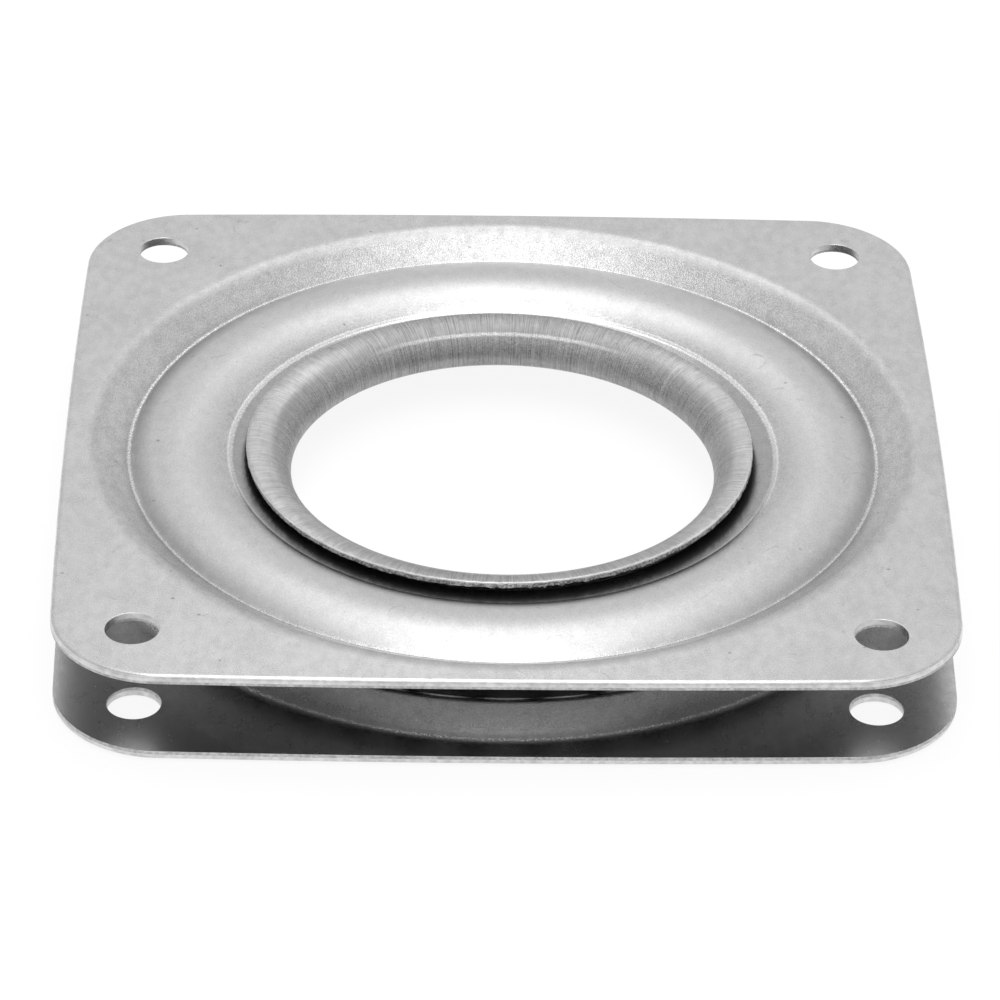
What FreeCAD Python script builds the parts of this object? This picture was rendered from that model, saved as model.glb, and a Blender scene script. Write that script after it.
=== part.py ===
import FreeCAD, Part
import math
import os
from FreeCAD import Vector

# Square swivel bearing: two stamped steel plates with a ring of loose balls between
# them, held together by the rolled centre flange of the bottom plate.
# Millimetres. The origin is the centre of the bottom plate's mounting face, and
# +Z is the turning axis.

# Both plates
plate_side = 76.2          # square blank, a 3 inch bearing
corner_radius = 9.25       # rounded corners of the blank
side_bow = 0.65            # how far the middle of a side stands out past its corners
sheet = 0.8                # sheet thickness
edge_roll = 0.3            # rounding that blanking leaves on the exposed edge
hole_inset = 7.25          # fixing hole centres, in from each side
hole_diameter = 4.5        # punched fixing holes
hole_roll = 0.2            # rounding that punching leaves on the hole rims

# Pressed ring, from the side of the plate inwards
edge_land = 2.6            # flat left between the plate's side and the bend
step_width = 2.9           # sloping wall from the bend down to the outer crease
race_width = 8.83          # ball race, from the outer crease to the inner one
collar_width = 5.3         # from the inner crease to the throat of the bore
crown_drop = 0.92          # crown of the race below the mounting face
race_rise = 1.03           # crown of the race above its two creases
bend_radius = 1.5          # inside radius of the bend next to the flat
crease_radius = 0.2        # inside radius of the two creases

# Balls
ball_diameter = 4.7625     # 3/16 inch steel balls
ball_play = 0.05           # gap between a ball and each race
ball_spacing = 0.12        # least gap between neighbouring balls

# Rim of the top plate, trapped under the flange
rim_slope = 12.0           # degrees that the rim dips towards the bore
rim_roll = 0.2             # rounding of the rim's two edges
neck_gap = 1.7             # from the flange's neck out to the rim

# Rolled centre flange of the bottom plate
roll_radius = 3.13         # outside radius of the roll
roll_past_crest = 12.0     # degrees that the roll runs on past its highest point
roll_below_centre = 7.0    # degrees that it starts below the level of its centre
lip_gap = 0.78             # between the crest of the flange and the rim below it
neck_sheet = 0.68          # thickness of the drawn neck
lip_sheet = 0.45           # thickness left at the lip's sheared edge
throat_radius = 1.0        # rounding where the cone turns up into the neck
crimp_radius = 0.2         # inside radius of the same turn, on the rim's side

# Sizes that follow
height = 2 * (crown_drop + sheet + ball_play) + ball_diameter
crease_drop = crown_drop + race_rise
bend_at = plate_side / 2 - edge_land
seam_at = bend_at + edge_land / 2
outer_crease_at = bend_at - step_width
inner_crease_at = outer_crease_at - race_width
throat_at = inner_crease_at - collar_width
pitch_radius = (outer_crease_at + inner_crease_at) / 2
hole_offset = plate_side / 2 - hole_inset
ball_count = int(2 * math.pi * pitch_radius / (ball_diameter + ball_spacing))

rim_at = throat_at + neck_sheet + neck_gap
rim_fall = math.tan(math.radians(rim_slope))
rim_drop = crease_drop + (inner_crease_at - rim_at) * rim_fall

lip_angle = 90 - roll_past_crest
neck_angle = 180 + roll_below_centre
crest_sheet = lip_sheet + (neck_sheet - lip_sheet) * roll_past_crest / (neck_angle - lip_angle)
roll_at = throat_at + roll_radius
rim_drop_under_crest = crease_drop + (inner_crease_at - roll_at) * rim_fall
roll_height = height - rim_drop_under_crest + lip_gap + crest_sheet - roll_radius

AXIS = Vector(0, 0, 1)
CENTRE = Vector(0, 0, 0)
NEAR = 0.001


def spot(radius, depth):
    """Point of a ring section: its radius, and its depth behind the mounting face."""
    return Vector(radius, 0, depth)


def line(a, b):
    return Part.LineSegment(a, b).toShape()


def arc(a, middle, b):
    return Part.Arc(a, middle, b).toShape()


def pressed_section(web_end):
    """Section of the pressed ring: the exposed skin, thickened towards the balls."""
    bend = spot(bend_at, 0)
    outer_crease = spot(outer_crease_at, crease_drop)
    crown = spot(pitch_radius, crown_drop)
    inner_crease = spot(inner_crease_at, crease_drop)
    skin = Part.Wire([
        line(spot(seam_at, 0), bend),
        line(bend, outer_crease),
        arc(outer_crease, crown, inner_crease),
        line(inner_crease, web_end),
    ])
    # Join type 2 keeps the corners sharp; they are rounded on the solid.
    return skin.makeOffset2D(-sheet, join=2, fill=True, openResult=True)


def roll_spot(angle, skin):
    """Point on the roll: skin 0 is its outside, 1 its inside under the full thickness."""
    along = (angle - lip_angle) / (neck_angle - lip_angle)
    thickness = lip_sheet + (neck_sheet - lip_sheet) * along
    radius = roll_radius - skin * thickness
    turn = math.radians(angle)
    return spot(roll_at + radius * math.cos(turn), roll_height + radius * math.sin(turn))


def flange_section():
    """Section of the rolled flange, thinner towards its sheared lip."""
    half_way = (neck_angle + lip_angle) / 2
    return Part.Face(Part.Wire([
        arc(roll_spot(neck_angle, 0), roll_spot(half_way, 0), roll_spot(lip_angle, 0)),
        line(roll_spot(lip_angle, 0), roll_spot(lip_angle, 1)),
        arc(roll_spot(lip_angle, 1), roll_spot(half_way, 1), roll_spot(neck_angle, 1)),
        line(roll_spot(neck_angle, 1), roll_spot(neck_angle, 0)),
    ]))


def blank():
    """Square sheet with rounded corners, open where the pressed ring goes."""
    middle = plate_side / 2
    tip = middle - side_bow
    middles = [(middle, 0), (0, middle), (-middle, 0), (0, -middle)]
    tips = [(tip, -tip), (tip, tip), (-tip, tip), (-tip, -tip), (tip, -tip)]
    sides = [arc(Vector(*a), Vector(*m), Vector(*b)) for a, m, b in zip(tips, middles, tips[1:])]
    square = Part.Face(Part.Wire(sides)).extrude(AXIS * sheet)
    uprights = [e for e in square.Edges if e.BoundBox.ZLength > sheet / 2]
    square = square.makeFillet(corner_radius, uprights)
    return square.cut(Part.makeCylinder(seam_at, sheet, CENTRE, AXIS))


def rings_at(solid, point):
    """Circular edges round the axis that pass through a point of the section."""
    found = []
    for edge in solid.Edges:
        circle = edge.Curve
        if not isinstance(circle, Part.Circle) or math.hypot(circle.Center.x, circle.Center.y) > NEAR:
            continue
        if abs(circle.Radius - point.x) < NEAR and abs(circle.Center.z - point.z) < NEAR:
            found.append(edge)
    return found


def hidden_corner(section, point):
    """Corner of the section on the ball side, opposite a corner of the exposed skin."""
    others = [v.Point for v in section.Vertexes if v.Point.distanceToPoint(point) > sheet / 2]
    return min(others, key=point.distanceToPoint)


def crease_rounds(section, at):
    """Small rounding in a crease, and the matching one over its ball side."""
    crease = spot(at, crease_drop)
    return [(crease, crease_radius), (hidden_corner(section, crease), crease_radius + sheet)]


def pressing(section, turned_section, end_rounds):
    """One stamped plate, lying with its exposed side down on the mounting face."""
    ring = turned_section.revolve(CENTRE, AXIS, 360)
    plate = blank().fuse(ring).removeSplitter().Solids[0]
    bend = spot(bend_at, 0)
    bend_rounds = [(bend, bend_radius + sheet), (hidden_corner(section, bend), bend_radius)]
    for point, radius in bend_rounds + crease_rounds(section, outer_crease_at) + end_rounds:
        plate = plate.makeFillet(radius, rings_at(plate, point))
    outline = [
        e for e in plate.Edges
        if abs(e.BoundBox.ZMax) < NEAR and e.CenterOfMass.Length > seam_at
    ]
    return fixing_holes(plate.makeFillet(edge_roll, outline))


def fixing_holes(plate):
    """Four punched holes, with the rounded rims on the exposed side."""
    for x in (-hole_offset, hole_offset):
        for y in (-hole_offset, hole_offset):
            plate = plate.cut(Part.makeCylinder(hole_diameter / 2, sheet, Vector(x, y, 0), AXIS))
    rims = [
        e for e in plate.Edges
        if isinstance(e.Curve, Part.Circle)
        and abs(e.Curve.Radius - hole_diameter / 2) < NEAR
        and abs(e.Curve.Center.z) < NEAR
    ]
    return plate.makeFillet(hole_roll, rims)


def bottom_plate():
    """Lower pressing: its cone climbs to the throat and is rolled out over the rim."""
    throat = roll_spot(neck_angle, 0)
    section = pressed_section(throat)
    whole = section.fuse(flange_section()).removeSplitter().Faces[0]
    crimp = hidden_corner(whole, throat)
    return pressing(section, whole, [(throat, throat_radius), (crimp, crimp_radius)])


def top_plate():
    """Upper pressing: the same ring, turned over, ending in a plain pierced rim."""
    rim = spot(rim_at, rim_drop)
    section = pressed_section(rim)
    rim_rounds = [(rim, rim_roll), (hidden_corner(section, rim), rim_roll)]
    plate = pressing(section, section, crease_rounds(section, inner_crease_at) + rim_rounds)
    plate.rotate(CENTRE, Vector(1, 0, 0), 180)
    plate.translate(Vector(0, 0, height))
    return plate


def ball(index):
    """One ball of the full complement, on the pitch circle midway between the races."""
    turn = 2 * math.pi * index / ball_count
    seat = Vector(pitch_radius * math.cos(turn), pitch_radius * math.sin(turn), height / 2)
    return Part.makeSphere(ball_diameter / 2, seat)


nodes = {"bottom_plate": bottom_plate(), "top_plate": top_plate()}
for index in range(ball_count):
    nodes[f"ball_{index + 1:02d}"] = ball(index)

os.makedirs("parts", exist_ok=True)
for name, shape in nodes.items():
    shape.exportStep(f"parts/{name}.step")

print(f"{len(nodes)} solids, {ball_count} balls, height {height:.3f} mm")
print(f"rim radius {rim_at:.2f}, throat radius {throat_at:.2f}, roll centre {roll_height:.3f} mm up")
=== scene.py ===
import math

import bmesh
import bpy
from mathutils import Matrix, Vector, noise


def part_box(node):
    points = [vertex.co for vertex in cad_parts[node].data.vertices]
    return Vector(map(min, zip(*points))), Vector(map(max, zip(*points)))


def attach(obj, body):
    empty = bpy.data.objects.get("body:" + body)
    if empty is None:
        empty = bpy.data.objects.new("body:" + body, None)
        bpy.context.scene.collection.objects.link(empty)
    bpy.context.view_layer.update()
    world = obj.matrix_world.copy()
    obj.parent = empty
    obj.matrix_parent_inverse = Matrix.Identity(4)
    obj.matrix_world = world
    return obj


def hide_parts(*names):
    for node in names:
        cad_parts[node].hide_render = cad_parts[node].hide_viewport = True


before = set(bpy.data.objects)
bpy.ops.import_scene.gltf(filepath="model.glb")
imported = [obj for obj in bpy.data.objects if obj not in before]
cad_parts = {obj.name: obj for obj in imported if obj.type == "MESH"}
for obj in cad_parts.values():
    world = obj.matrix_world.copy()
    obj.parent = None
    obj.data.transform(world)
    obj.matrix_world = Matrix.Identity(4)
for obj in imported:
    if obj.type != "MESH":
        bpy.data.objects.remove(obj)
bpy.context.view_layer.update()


# Bottom plate. A square blank of 0.8 mm zinc plated steel with the ball race pressed into
# it. Its centre is drawn up through the bore and rolled out over the top plate, which is
# all that holds the bearing together. Four holes are punched near the corners.
MM = 0.001
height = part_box("top_plate")[1].z / MM
plate_side = (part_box("bottom_plate")[1].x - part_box("bottom_plate")[0].x) / MM
side_bow = 0.65
corner_radius = 9.25
sheet = 0.8
edge_roll = 0.35
hole_at = plate_side / 2 - 7.25
hole_radius = 2.25
hole_roll = 0.06
# A punched edge is burnished down to this depth, and torn and set back a little below it,
# with a small arris at the ball side.
torn_from = 0.52
torn_back = 0.01
arris = 0.04

# Section of the pressed ring, in mm: radius, and depth behind the mounting face.
bend_at = plate_side / 2 - 2.6
outer_crease = (bend_at - 2.9, 1.95)
crown_at = (28.185, 0.92)
inner_crease = (2 * crown_at[0] - outer_crease[0], outer_crease[1])
bend_radius = 3.0
crease_radius = 0.2

# The roll runs from the neck over its crest, in degrees, and thins over its first quarter
# and again to the lip. Its end sways a little from one side of the bearing to the other.
roll_radius = 3.13
roll_centre = (21.6, 4.017)
roll_start = 187
roll_end = 80.5
roll_end_sway = (6, -3.75)
neck_sheet = 0.68
neck_share = 0.25
lip_sheet = 0.55
lip_round = 0.2
lip_round_turn = 3.7
lip_waver, waver_scale = 1.1, 55
lip_nicks, nick_scale = 0.2, 70
throat_radius = 1.0

# The ring is spun out of this many sections, from the seam with the flat inwards.
turns = 540
seam_at = 36.8
sharp_from = 32


def along(angle):
    return Vector((math.cos(math.radians(angle)), math.sin(math.radians(angle))))


def facing(a, b):
    """Which way the exposed skin faces on a straight run of the section from a to b."""
    return math.degrees(math.atan2(b[1] - a[1], b[0] - a[0])) % 360 + 90


def bow(centre, radius, first, last, steps):
    """Arc of the exposed skin: points, each with the angle that the skin faces there."""
    points = []
    for step in range(steps + 1):
        angle = first + (last - first) * step / steps
        points.append((Vector(centre) + radius * along(angle), angle))
    return points


def rounded_corner(corner, before, after, radius, steps):
    """Rounding between two straight runs that face before and after."""
    half = math.radians(after - before) / 2
    centre = Vector(corner) - along((before + after) / 2) * radius / math.cos(half)
    return bow(centre, radius, before, after, steps)


def rounded_joint(run_point, run_faces, centre, arc_radius, near, radius, steps):
    """Rounding from a straight run into an arc. A radius below zero is a hollow one."""
    reach = arc_radius - radius
    shift = -radius - along(run_faces).dot(Vector(centre) - Vector(run_point))
    swing = math.degrees(math.acos(shift / reach))

    def miss(way):
        return (Vector(centre) + arc_radius * along(way) - Vector(near)).length

    arc_faces = min(run_faces + swing, run_faces - swing, key=miss)
    middle = Vector(centre) + reach * along(arc_faces)
    return bow(middle, radius, run_faces, arc_faces, steps), arc_faces


def race_skin():
    """Exposed skin of the pressed ring, from the flat in to the end of the race."""
    wall = facing((bend_at, 0), outer_crease)
    half_race = outer_crease[0] - crown_at[0]
    rise = outer_crease[1] - crown_at[1]
    dome_radius = (half_race ** 2 + rise ** 2) / (2 * rise)
    dome_centre = (crown_at[0], crown_at[1] + dome_radius)
    bend = rounded_corner((bend_at, 0), 270, wall, bend_radius, steps=8)
    outer, dome_from = rounded_joint(
        outer_crease, wall, dome_centre, dome_radius, outer_crease, -crease_radius, steps=6)
    return bend, outer, dome_centre, dome_radius, dome_from


def skin_to(web_faces):
    """The same skin carried on over the inner crease into a web that faces that way."""
    bend, outer, dome_centre, dome_radius, dome_from = race_skin()
    inner, dome_to = rounded_joint(
        inner_crease, web_faces, dome_centre, dome_radius, inner_crease, -crease_radius, steps=4)
    dome = bow(dome_centre, dome_radius, dome_from, dome_to, steps=24)
    return [(Vector((seam_at, 0)), 270)] + bend + outer + dome[1:-1] + inner[::-1]


def thickened(skin, thickness):
    """Closed section: the skin, and the ball side behind it at the local thickness."""
    behind = [point - along(angle) * deep for (point, angle), deep in zip(skin, thickness)]
    return [point for point, angle in skin], behind


def blank_outline(inset, level):
    """Outline of the blank at one level: four slightly bowed sides and rounded corners."""
    tip = plate_side / 2 - side_bow
    side_radius = (tip ** 2 + side_bow ** 2) / (2 * side_bow)
    back = side_radius - plate_side / 2
    corner = (math.sqrt(2 * (side_radius - corner_radius) ** 2 - back ** 2) - back) / 2
    reach = math.degrees(math.atan2(corner, corner + back))
    quarter = bow((-back, 0), side_radius - inset, -reach, reach, steps=16)[:-1]
    quarter += bow((corner, corner), corner_radius - inset, reach, 90 - reach, steps=24)[:-1]
    points = []
    for turn in range(4):
        spin = Matrix.Rotation(turn * math.pi / 2, 2)
        points += [(*(spin @ point), level) for point, angle in quarter]
    return points


def circle(centre, radius, level, steps=64):
    points = [Vector(centre) + radius * along(360 * step / steps) for step in range(steps)]
    return [(*point, level) for point in points]


def loop_of(mesh, points):
    return [mesh.verts.new([value * MM for value in point]) for point in points]


def closed_edges(mesh, loop):
    edges = []
    for a, b in zip(loop, loop[1:] + loop[:1]):
        edges.append(mesh.edges.get((a, b)) or mesh.edges.new((a, b)))
    return edges


def skinned(mesh, loops, finishes):
    """Faces between each loop and the next, with a finish for each of the strips."""
    for outer, inner, finish in zip(loops, loops[1:], finishes):
        count = len(outer)
        for i in range(count):
            j = (i + 1) % count
            face = mesh.faces.new((outer[i], inner[i], inner[j], outer[j]))
            face.material_index = finish


def rim_levels(roll, steps=6):
    """Insets and levels over a cut edge: rolled on the exposed side, sharp behind."""
    levels = [(roll + 0.06, 0)]
    for step in range(steps + 1):
        turn = math.radians(90 * step / steps)
        levels.append((roll * (1 - math.sin(turn)), roll * (1 - math.cos(turn))))
    levels += [(0, torn_from), (torn_back, torn_from + torn_back), (torn_back, sheet - arris)]
    return levels + [(torn_back + arris, sheet), (0.1, sheet)]


def stamped_plate(name, sections, ring_finishes):
    """One plate, exposed side down: the spun ring, the flat round it and its cut edges.

    The ring has one finish for each strip between two points of its section.
    """
    mesh = bmesh.new()
    rows = []
    for turn, (front, behind) in enumerate(sections):
        way = along(360 * turn / len(sections))
        points = [(out * way.x, out * way.y, deep) for out, deep in front + behind[::-1]]
        rows.append(loop_of(mesh, points))
    loops = [[row[i] for row in rows] for i in range(len(rows[0]))]
    edge_finishes = [sheet_steel] * 4 + [burnished_steel] * 4 + [torn_steel] * 3 + [sheet_steel]
    slots = []
    for finish in edge_finishes + ring_finishes:
        if finish not in slots:
            slots.append(finish)
    skinned(mesh, loops, [slots.index(finish) for finish in ring_finishes])

    edge_bands = [slots.index(finish) for finish in edge_finishes]
    outline = [loop_of(mesh, blank_outline(inset, level)) for inset, level in rim_levels(edge_roll)]
    skinned(mesh, [loop[::-1] for loop in outline], edge_bands)
    fills = [[loops[0], outline[0]], [loops[-1], outline[-1]]]
    for x in (-hole_at, hole_at):
        for y in (-hole_at, hole_at):
            hole = [loop_of(mesh, circle((x, y), hole_radius + inset, level))
                    for inset, level in rim_levels(hole_roll)]
            skinned(mesh, hole, edge_bands)
            fills[0].append(hole[0])
            fills[1].append(hole[-1])
    for fill in fills:
        edges = [edge for loop in fill for edge in closed_edges(mesh, loop)]
        bmesh.ops.triangle_fill(mesh, use_beauty=True, edges=edges)
    bmesh.ops.recalc_face_normals(mesh, faces=mesh.faces)
    data = bpy.data.meshes.new(name)
    mesh.to_mesh(data)
    mesh.free()
    for finish in slots:
        data.materials.append(finish)
    data.shade_smooth()
    data.set_sharp_from_angle(angle=math.radians(sharp_from))
    plate = bpy.data.objects.new(name, data)
    bpy.context.scene.collection.objects.link(plate)
    return plate


def place(tree, kind, inputs=None, **settings):
    """One shader node. An input is given a value, or the socket that feeds it."""
    made = tree.nodes.new("ShaderNode" + kind)
    for name, value in settings.items():
        setattr(made, name, value)
    for key, value in (inputs or {}).items():
        if isinstance(value, bpy.types.NodeSocket):
            tree.links.new(value, made.inputs[key])
        else:
            made.inputs[key].default_value = value
    return made


def maths(tree, operation, *values, clamp=False):
    made = place(tree, "Math", dict(enumerate(values)), operation=operation, use_clamp=clamp)
    return made.outputs[0]


def vector_maths(tree, operation, values, result="Vector"):
    return place(tree, "VectorMath", values, operation=operation).outputs[result]


def spread(tree, value, low, high, to_low=0.0, to_high=1.0):
    """Value between low and high, carried over to the second pair and held at its ends."""
    ranged = place(tree, "MapRange", {
        "Value": value, "From Min": low, "From Max": high, "To Min": to_low, "To Max": to_high})
    return ranged.outputs[0]


def effect(name, inputs, outputs):
    """Empty node group with named number sockets, and its spot on the piece in mm."""
    group = bpy.data.node_groups.new(name, "ShaderNodeTree")
    for label, value in inputs.items():
        socket = group.interface.new_socket(label, in_out="INPUT", socket_type="NodeSocketFloat")
        socket.default_value = value
    for label in outputs:
        group.interface.new_socket(label, in_out="OUTPUT", socket_type="NodeSocketFloat")
    given = group.nodes.new("NodeGroupInput").outputs
    results = group.nodes.new("NodeGroupOutput").inputs
    where = place(group, "TexCoord").outputs["Object"]
    spot = vector_maths(group, "SCALE", {0: where, "Scale": 1 / MM})
    return group, given, results, spot


def grain(tree, spot, size, detail=2.0, rough=0.5):
    """Noise with features about that many mm across."""
    scale = maths(tree, "DIVIDE", 1.0, size)
    made = place(tree, "TexNoise", {
        "Vector": spot, "Scale": scale, "Detail": detail, "Roughness": rough})
    return made.outputs[0]


def round_the_axis(tree, spot):
    """How far out a spot is from the turning axis, and the way out to it."""
    flat = vector_maths(tree, "MULTIPLY", {0: spot, 1: (1.0, 1.0, 0.0)})
    out = vector_maths(tree, "LENGTH", {0: flat}, "Value")
    return out, vector_maths(tree, "NORMALIZE", {0: flat})


# Rolled and zinc plated sheet: a soft mottle, a fine grain, dark pits and short marks.
zinc_bloom, given, results, spot = effect(
    "zinc_bloom",
    {"Cloud Size": 0.8, "Grain Size": 0.1, "Pit Spacing": 2.3, "Mark Size": 5.0},
    ["Tone", "Grain", "Pits", "Marks"])
drawn_out = vector_maths(zinc_bloom, "MULTIPLY", {0: spot, 1: (1.0, 0.6, 1.0)})
cloud = grain(zinc_bloom, drawn_out, given["Cloud Size"], 2.0, 0.45)
drift = grain(zinc_bloom, spot, maths(zinc_bloom, "MULTIPLY", given["Cloud Size"], 9.0), 1.0)
fine = grain(zinc_bloom, drawn_out, given["Grain Size"], 2.0, 0.6)
tone = maths(zinc_bloom, "MULTIPLY_ADD", drift, 0.5, cloud)
tone = maths(zinc_bloom, "MULTIPLY_ADD", fine, 0.12, tone)
zinc_bloom.links.new(spread(zinc_bloom, tone, 0.60, 1.02), results["Tone"])
zinc_bloom.links.new(fine, results["Grain"])
pitted = place(zinc_bloom, "TexVoronoi", {
    "Vector": spot, "Scale": maths(zinc_bloom, "DIVIDE", 1.0, given["Pit Spacing"])})
chance = place(zinc_bloom, "SeparateColor", {0: pitted.outputs["Color"]}).outputs[0]
pit_size = spread(zinc_bloom, chance, 0.4, 1.0, 0.0, 0.085)
blurred = maths(zinc_bloom, "MULTIPLY_ADD", fine, 0.06, pitted.outputs["Distance"])
pits = spread(zinc_bloom, maths(zinc_bloom, "SUBTRACT", pit_size, blurred), -0.05, 0.0)
zinc_bloom.links.new(pits, results["Pits"])
field = grain(zinc_bloom, spot, given["Mark Size"], 0.5)
beside = maths(zinc_bloom, "ABSOLUTE", maths(zinc_bloom, "SUBTRACT", field, 0.5))
line = spread(zinc_bloom, beside, 0.001, 0.008, 1, 0)
elsewhere = vector_maths(zinc_bloom, "ADD", {0: spot, 1: (31.0, 17.0, 5.0)})
patch_size = maths(zinc_bloom, "MULTIPLY", given["Mark Size"], 0.25)
shown = spread(zinc_bloom, grain(zinc_bloom, elsewhere, patch_size, 1.0), 0.56, 0.66)
zinc_bloom.links.new(maths(zinc_bloom, "MULTIPLY", line, shown), results["Marks"])

# A ring mask, whole or broken up into dots. Some rings mark where a forming tool worked the
# sheet; others place painted highlights and painted shade. The side and back inputs keep it to
# the two sides or to the back only, and Front Loss takes it off the front; they are used only
# where a ring places painted light.
tool_mark_and_painted_light_ring, given, results, spot = effect(
    "tool_mark_and_painted_light_ring",
    {"Radius": 30.0, "Half Width": 0.2, "Softness": 0.2, "Raggedness": 0.1, "Dots": 0.0,
     "Side Wear": 0.0, "Back Wear": 0.0, "Front Loss": 0.0},
    ["Ring"])
out, way = round_the_axis(tool_mark_and_painted_light_ring, spot)
way = place(tool_mark_and_painted_light_ring, "SeparateXYZ", {0: way}).outputs
wobble = maths(tool_mark_and_painted_light_ring, "SUBTRACT", grain(tool_mark_and_painted_light_ring, spot, 0.3), 0.5)
out = maths(tool_mark_and_painted_light_ring, "MULTIPLY_ADD", wobble, given["Raggedness"], out)
away = maths(tool_mark_and_painted_light_ring, "ABSOLUTE", maths(tool_mark_and_painted_light_ring, "SUBTRACT", out, given["Radius"]))
past = maths(tool_mark_and_painted_light_ring, "SUBTRACT", away, given["Half Width"])
past = maths(tool_mark_and_painted_light_ring, "DIVIDE", past, given["Softness"])
ring = maths(tool_mark_and_painted_light_ring, "SUBTRACT", 1.0, past, clamp=True)
for thinning, dull in (
        ("Dots", spread(tool_mark_and_painted_light_ring, grain(tool_mark_and_painted_light_ring, spot, 0.13, 1.0), 0.48, 0.6, 1, 0)),
        ("Side Wear", spread(tool_mark_and_painted_light_ring, maths(tool_mark_and_painted_light_ring, "ABSOLUTE", way[0]), 0.45, 0.85, 1, 0)),
        ("Back Wear", spread(tool_mark_and_painted_light_ring, way[1], 0.8, 0.97, 1, 0)),
        ("Front Loss", spread(tool_mark_and_painted_light_ring, way[1], -0.4, 0.3, 1, 0))):
    kept = maths(tool_mark_and_painted_light_ring, "SUBTRACT", 1.0, maths(tool_mark_and_painted_light_ring, "MULTIPLY", dull, given[thinning]))
    ring = maths(tool_mark_and_painted_light_ring, "MULTIPLY", ring, kept)
tool_mark_and_painted_light_ring.links.new(ring, results["Ring"])

# Hair lines of the draw, which run along the section and change quickly round the axis.
draw_marks, given, results, spot = effect(
    "draw_marks", {"Mark Width": 0.06, "Mark Length": 2.2}, ["Marks"])
out, way = round_the_axis(draw_marks, spot)
fineness = maths(draw_marks, "DIVIDE", 20.0, given["Mark Width"])
round_way = vector_maths(draw_marks, "SCALE", {0: way, "Scale": fineness})
level = place(draw_marks, "SeparateXYZ", {0: spot}).outputs[2]
deep = maths(draw_marks, "DIVIDE", maths(draw_marks, "SUBTRACT", level, out), given["Mark Length"])
lift = place(draw_marks, "CombineXYZ", {2: deep}).outputs[0]
where = vector_maths(draw_marks, "ADD", {0: round_way, 1: lift})
streak = place(draw_marks, "TexNoise", {
    "Vector": where, "Scale": 1.0, "Detail": 3.0, "Roughness": 0.7})
marks = spread(draw_marks, streak.outputs[0], 0.3, 0.7)
draw_marks.links.new(marks, results["Marks"])


def steel(name, rough, anisotropy=0.0):
    """Bare metal finish, with its tree and its shader."""
    finish = bpy.data.materials.new(name)
    finish.use_nodes = True
    shader = finish.node_tree.nodes["Principled BSDF"]
    shader.inputs["Metallic"].default_value = 1
    shader.inputs["Roughness"].default_value = rough
    shader.inputs["Anisotropic"].default_value = anisotropy
    return finish, finish.node_tree, shader


def use(tree, group, **values):
    made = tree.nodes.new("ShaderNodeGroup")
    made.node_tree = group
    for label, value in values.items():
        made.inputs[label.replace("_", " ")].default_value = value
    return made.outputs


def ring_mask(tree, radius, half_width, softness, **thinning):
    """Mask of one ring on a material, for a tool mark, a painted highlight or painted shade."""
    sizes = {"Radius": radius, "Half_Width": half_width, "Softness": softness}
    return use(tree, tool_mark_and_painted_light_ring, **sizes, **thinning)["Ring"]


def feed(tree, shader, tone, rough=None, relief=None, depth=0.02):
    """Links a grey tone, a roughness and a relief of that depth in mm into a shader."""
    tree.links.new(tone, shader.inputs["Base Color"])
    if rough is not None:
        tree.links.new(rough, shader.inputs["Roughness"])
    if relief is not None:
        bump = place(tree, "Bump", {"Height": relief, "Distance": depth * MM, "Strength": 1.0})
        tree.links.new(bump.outputs[0], shader.inputs["Normal"])


def shaded(tree, tone, mask, share):
    """The tone, brought down to that share of itself where the mask is whole."""
    return maths(tree, "MULTIPLY", tone, spread(tree, mask, 0, 1, 1, share))


def zinc_tone(tree, bloom, low, high, calm=1.0):
    """Grey of the plating, darker in its pits and marks."""
    mottle = maths(tree, "MULTIPLY", maths(tree, "SUBTRACT", bloom["Tone"], 0.5), calm)
    tone = maths(tree, "MULTIPLY_ADD", mottle, high - low, (low + high) / 2)
    tone = shaded(tree, tone, bloom["Pits"], 0.62)
    return shaded(tree, tone, bloom["Marks"], 0.8)


sheet_steel, tree, shader = steel("zinc_sheet", 0.35)
bloom = use(tree, zinc_bloom)
# Painted highlights: a bright dotted line along the outer crease, at the two sides and off the
# front, and one along the inner crease, off the front.
outer_line = ring_mask(
    tree, outer_crease[0], 0.1, 0.1, Raggedness=0.2, Dots=0.7, Side_Wear=0.9, Front_Loss=0.6)
inner_line = ring_mask(
    tree, inner_crease[0] + 0.05, 0.15, 0.15, Raggedness=0.25, Dots=0.45, Front_Loss=0.6)
# Painted shade in the inner crease.
inner_groove = ring_mask(tree, inner_crease[0], 0.1, 0.15, Raggedness=0.1)
pressed = ring_mask(tree, crown_at[0], 3.4, 0.8)
strained = ring_mask(tree, 34.2, 1.3, 0.7, Raggedness=0.6)
# Painted shade over the bend, which dims its highlight; the bend is also made a little rougher.
bent = ring_mask(tree, 35.7, 0.4, 0.6, Raggedness=0.5)
# Painted glints: dots of light along the bend, on the ball side only.
painted_bend_glints = ring_mask(tree, 35.8, 0.08, 0.1, Raggedness=0.3, Dots=0.95)
# Painted shade: a darker band beside the outer crease, at the two sides only.
side_crease_shade = ring_mask(tree, 32.1, 0.1, 1.3, Raggedness=0.5, Side_Wear=1.0)
# Painted shade on the web under the rolled lip.
painted_lip_shade = ring_mask(tree, 22.2, 1.3, 0.35, Raggedness=0.3)
grime = ring_mask(tree, 24.3, 0.4, 1.0, Raggedness=1.0, Dots=1.0)
tone = zinc_tone(tree, bloom, 0.425, 0.5, spread(tree, pressed, 0, 1, 1, 0.55))
speckle = maths(tree, "SUBTRACT", bloom["Grain"], 0.5)
speckle = maths(tree, "MULTIPLY", speckle, spread(tree, strained, 0, 1, 0.3, 0.55))
tone = maths(tree, "ADD", tone, speckle)
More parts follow.
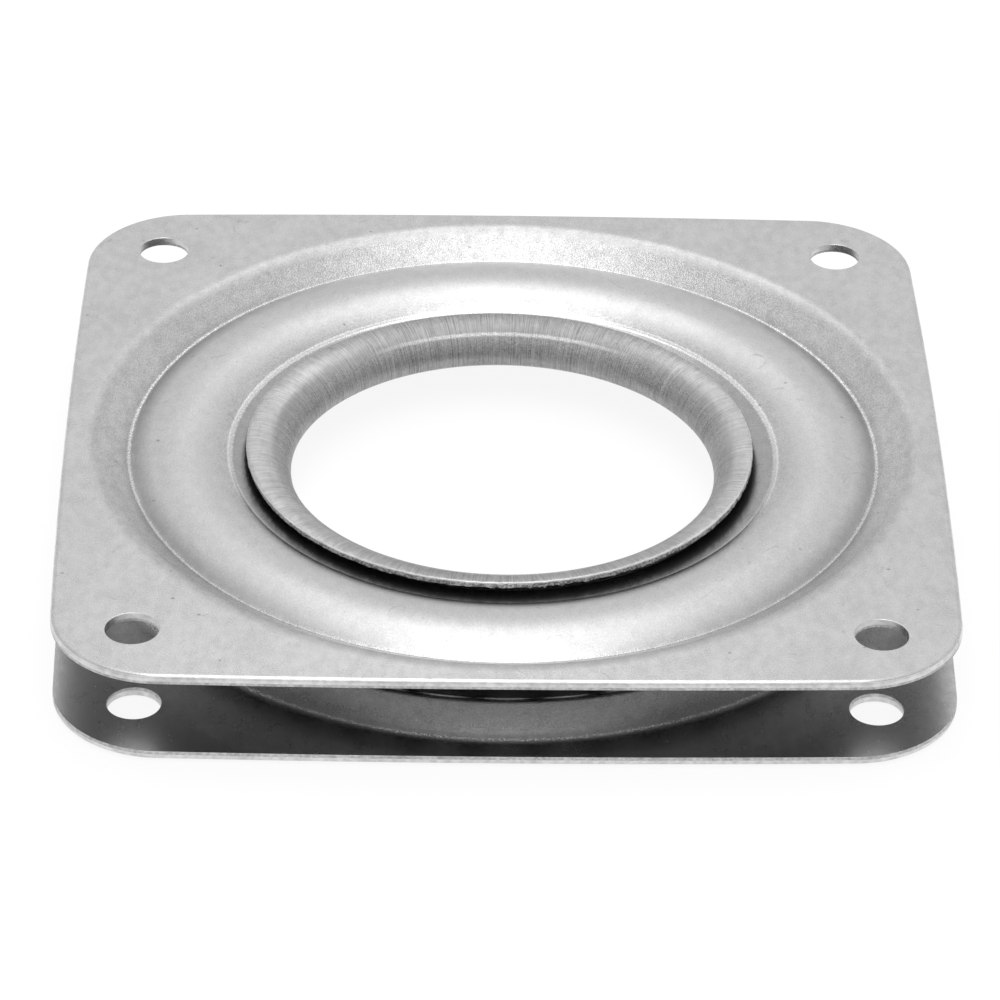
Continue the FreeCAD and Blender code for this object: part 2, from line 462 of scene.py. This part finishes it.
# The bend, the band beside the outer crease, the web under the lip and the inner crease are
# darkened as painted shade; the strained band and the grime are the plating's own.
for mask, share in ((bent, 0.91), (strained, 0.95), (side_crease_shade, 0.66), (painted_lip_shade, 0.68),
                    (inner_groove, 0.6), (grime, 0.8)):
    tone = shaded(tree, tone, mask, share)
# The ball side of a plate is the one less than 3.5 mm from the middle of the bearing.
level = place(tree, "SeparateXYZ", {0: place(tree, "TexCoord").outputs["Object"]}).outputs[2]
away = maths(tree, "ABSOLUTE", maths(tree, "SUBTRACT", level, height * MM / 2))
ball_side = spread(tree, away, 0.0035, 0.0038, 1, 0)
# The painted highlights and glints lighten the tone, and the sheet is a little smoother under them.
painted_crease_glints = maths(tree, "MAXIMUM", outer_line, inner_line)
painted_crease_glints = maths(tree, "MAXIMUM", painted_crease_glints, maths(tree, "MULTIPLY", painted_bend_glints, ball_side))
tone = maths(tree, "MULTIPLY_ADD", painted_crease_glints, 0.5, tone)
rough = maths(tree, "MULTIPLY_ADD", painted_crease_glints, -0.12, spread(tree, bloom["Tone"], 0, 1, 0.275, 0.25))
rough = maths(tree, "MULTIPLY_ADD", bent, 0.05, rough)
rough = maths(tree, "MULTIPLY_ADD", pressed, 0.09, rough)
relief = maths(tree, "MULTIPLY", bloom["Grain"], spread(tree, strained, 0, 1, 0.12, 1.0))
feed(tree, shader, tone, rough, relief, depth=0.03)

flange_steel, tree, shader = steel("rolled_flange", 0.4, 1.0)
bloom = use(tree, zinc_bloom, Cloud_Size=0.4)
marks = use(tree, draw_marks)["Marks"]
drawn = ring_mask(tree, 19.0, 0.3, 0.3, Raggedness=0.2)
# A fine dotted ridge on the roll, raised by the bump and lightened as a painted highlight at the
# back only.
ridge_bump_and_highlight = ring_mask(tree, 19.6, 0.07, 0.12, Raggedness=0.12, Dots=0.5, Back_Wear=1.0)
# Painted highlight: a lighter band on the crest of the roll, at the two sides only.
painted_crest_sheen = ring_mask(tree, 21.2, 0.8, 0.5, Raggedness=0.3, Side_Wear=1.0)
streaks = maths(tree, "SUBTRACT", marks, 0.5)
streaks = maths(tree, "MULTIPLY", streaks, spread(tree, drawn, 0, 1, 0.32, 0.4))
tone = maths(tree, "ADD", zinc_tone(tree, bloom, 0.38, 0.43), streaks)
tone = maths(tree, "MULTIPLY_ADD", painted_crest_sheen, 0.08, tone)
speckle = maths(tree, "SUBTRACT", bloom["Grain"], 0.5)
tone = maths(tree, "MULTIPLY_ADD", speckle, spread(tree, drawn, 0, 1, 0.06, 0.6), tone)
tone = maths(tree, "MULTIPLY_ADD", ridge_bump_and_highlight, 0.45, tone)
relief = maths(tree, "MULTIPLY_ADD", marks, 1.6, bloom["Grain"])
relief = maths(tree, "ADD", ridge_bump_and_highlight, relief)
feed(tree, shader, tone, spread(tree, bloom["Tone"], 0, 1, 0.43, 0.39), relief)

torn_steel, tree, shader = steel("torn_edge", 0.52)
bloom = use(tree, zinc_bloom, Cloud_Size=0.28)
feed(tree, shader, spread(tree, bloom["Tone"], 0, 1, 0.36, 0.62), relief=bloom["Grain"])

lip_steel, tree, shader = steel("lip_end", 0.45)
bloom = use(tree, zinc_bloom, Cloud_Size=0.2, Grain_Size=0.13)
flecks = maths(tree, "MULTIPLY", bloom["Tone"], 0.4)
flecks = maths(tree, "MULTIPLY_ADD", bloom["Grain"], 0.6, flecks)
feed(tree, shader, spread(tree, flecks, 0.38, 0.6, 0.24, 0.74), relief=bloom["Grain"])

burnished_steel, tree, shader = steel("burnished_edge", 0.4)
bloom = use(tree, zinc_bloom, Cloud_Size=0.6)
feed(tree, shader, spread(tree, bloom["Tone"], 0, 1, 0.55, 0.76), relief=bloom["Grain"])

throat = Vector(roll_centre) + roll_radius * along(roll_start)
cone_faces = facing(inner_crease, throat)
cone_skin = skin_to(cone_faces)
throat_turn, roll_from = rounded_joint(
    inner_crease, cone_faces, roll_centre, roll_radius, throat, throat_radius, steps=8)


def rolled_section(turn):
    """Section of the bottom plate at one bearing, where the lip ends a little unevenly."""
    spot = along(360 * turn / turns)
    rough = noise.fractal(Vector((*spot * waver_scale, 3.0)), 1.0, 2.0, 3)
    end = roll_end + spot.dot(Vector(roll_end_sway)) + lip_waver * rough
    roll = bow(roll_centre, roll_radius, roll_from, end + lip_round_turn, steps=30)
    skin = cone_skin + throat_turn + roll[1:]
    thickness = [sheet] * len(cone_skin)
    for point, angle in skin[len(cone_skin):]:
        share = (cone_faces - angle) / (cone_faces - end)
        deep = neck_sheet + (sheet - neck_sheet) * max(0, 1 - share / neck_share)
        past_neck = max(0, share - neck_share) / (1 - neck_share)
        thickness.append(deep + (lip_sheet - deep) * past_neck)
    front, behind = thickened(skin, thickness)
    out = along(end + lip_round_turn)
    middle = Vector(roll_centre) + (roll_radius - lip_round) * out
    nick = lip_nicks * noise.noise(Vector((*spot * nick_scale, 9.0)))
    torn_to = lip_sheet - lip_round - arris + nick
    for angle, deep in ((25, 0), (50, 0), (75, 0), (90, 0), (90, torn_to)):
        front.append(middle + lip_round * along(end + lip_round_turn - angle) - deep * out)
    return front, behind


bottom_sections = [rolled_section(turn) for turn in range(turns)]
front_points, behind_points = (len(side) for side in bottom_sections[0])
flange_from = len(cone_skin) + 3
bright_strips, torn_strips = 2, 3
bottom_plate = stamped_plate(
    "bottom_plate_pressing", bottom_sections,
    [sheet_steel] * flange_from
    + [flange_steel] * (front_points - bright_strips - torn_strips - flange_from)
    + [burnished_steel] * bright_strips
    + [lip_steel] * torn_strips
    + [flange_steel] * (behind_points - flange_from)
    + [sheet_steel] * (flange_from - 1))
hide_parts("bottom_plate")
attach(bottom_plate, "base")


# Balls. Thirty six loose 3/16 inch balls of polished bearing steel fill the race between
# the two plates, with no cage.
ball_steel, tree, shader = steel("polished_ball", 0.12)
bloom = use(tree, zinc_bloom, Cloud_Size=1.5, Pit_Spacing=2.0)
tone = spread(tree, bloom["Tone"], 0.3, 0.7, 0.56, 0.62)
feed(tree, shader, tone, spread(tree, bloom["Tone"], 0.3, 0.7, 0.16, 0.1))
for name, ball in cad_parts.items():
    if name.startswith("ball_"):
        ball.data.materials.clear()
        ball.data.materials.append(ball_steel)


# Top plate. The same pressing turned over, except that its centre is pierced to a plain
# round rim, which is trapped under the rolled lip of the bottom plate.
rim_at = 20.85
rim_slope = 12
rim_roll = 0.2
rim_steps = 4
rim_drop = inner_crease[1] + (inner_crease[0] - rim_at) * math.tan(math.radians(rim_slope))
web_skin = skin_to(270 - rim_slope)
rim_front = Vector((rim_at, rim_drop))
rim_normal = along(270 - rim_slope)
rim_away = along(180 - rim_slope)
rim_skin = web_skin + [(rim_front - rim_away * rim_roll, 270 - rim_slope)]
front, behind = thickened(rim_skin, [sheet] * len(rim_skin))
for step in range(1, rim_steps + 1):
    turn = math.radians(90 * step / rim_steps)
    swept = math.cos(turn) * rim_normal + math.sin(turn) * rim_away
    front.append(rim_front - rim_roll * (rim_normal + rim_away - swept))
    swept = math.sin(turn) * rim_away - math.cos(turn) * rim_normal
    behind.append(rim_front - (sheet - rim_roll) * rim_normal - rim_roll * (rim_away - swept))

skin_strips = [sheet_steel] * (len(rim_skin) - 1)
rim_strips = [torn_steel] * (2 * rim_steps + 1)
top_plate = stamped_plate(
    "top_plate_pressing", [(front, behind)] * turns, skin_strips + rim_strips + skin_strips)
turned_over = Matrix.Translation((0, 0, height * MM)) @ Matrix.Rotation(math.pi, 4, "X")
top_plate.data.transform(turned_over)
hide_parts("top_plate")
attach(top_plate, "turntable")


# Studio. A plain white floor and a surround that is white behind the bearing and dimmer
# behind the camera, with one long soft lamp overhead. A long lens looks down at the
# bearing from its front side.
scene = bpy.context.scene
world = bpy.data.worlds.new("studio")
scene.world = world
world.use_nodes = True
tree = world.node_tree
way = place(tree, "SeparateXYZ", {0: place(tree, "TexCoord").outputs["Generated"]})
behind_camera = place(tree, "MapRange", {
    "Value": way.outputs[1], "From Min": -0.75, "From Max": 0.15, "To Min": 0.74, "To Max": 1.05},
    interpolation_type="SMOOTHSTEP")
tree.links.new(behind_camera.outputs[0], tree.nodes["Background"].inputs[0])

floor_mesh = bmesh.new()
bmesh.ops.create_grid(floor_mesh, x_segments=1, y_segments=1, size=3)
floor_data = bpy.data.meshes.new("floor")
floor_mesh.to_mesh(floor_data)
floor = bpy.data.objects.new("floor", floor_data)
floor.location.z = -0.0002
scene.collection.objects.link(floor)
paper = bpy.data.materials.new("white_paper")
paper.use_nodes = True
tree = paper.node_tree
tree.nodes.clear()
plain = place(tree, "BsdfDiffuse", {0: (0.75, 0.75, 0.75, 1)})
faint = place(tree, "BsdfDiffuse", {0: (0.12, 0.12, 0.12, 1)})
glow = place(tree, "Emission", {0: (1, 1, 1, 1), 1: 0.88})
lit = place(tree, "AddShader", {0: glow.outputs[0], 1: faint.outputs[0]})
path = place(tree, "LightPath").outputs
seen = maths(tree, "MAXIMUM", path["Is Camera Ray"], path["Is Glossy Ray"])
seen = maths(tree, "MAXIMUM", seen, path["Is Transmission Ray"])
both = place(tree, "MixShader", {0: seen, 1: plain.outputs[0], 2: lit.outputs[0]})
place(tree, "OutputMaterial", {0: both.outputs[0]})
floor_data.materials.append(paper)

lamp_data = bpy.data.lights.new("overhead_strip", "AREA")
lamp_data.shape = "ELLIPSE"
lamp_data.size = 0.24
lamp_data.size_y = 1.3
lamp_data.energy = 1.7
lamp = bpy.data.objects.new("overhead_strip", lamp_data)
lamp.location = (0, 0.05, 0.6)
scene.collection.objects.link(lamp)

lens = bpy.data.cameras.new("long_lens")
lens.sensor_width = 36
lens.lens = 191.3
lens.clip_start, lens.clip_end = 0.05, 10
camera = bpy.data.objects.new("long_lens", lens)
yaw, pitch, roll = (math.radians(angle) for angle in (1.2401, 32.878, 1.1934))
level = Vector((math.sin(yaw), math.cos(yaw), 0))
forward = level * math.cos(pitch) - Vector((0, 0, math.sin(pitch)))
side = Vector((math.cos(yaw), -math.sin(yaw), 0))
up = side.cross(forward)
right = math.cos(roll) * side + math.sin(roll) * up
up = math.cos(roll) * up - math.sin(roll) * side
stand = Matrix.Translation((-0.00865, -0.391977, 0.246369 + height * MM))
camera.matrix_world = stand @ Matrix((right, up, -forward)).transposed().to_4x4()
scene.collection.objects.link(camera)
scene.camera = camera
scene.view_settings.view_transform = "Standard"
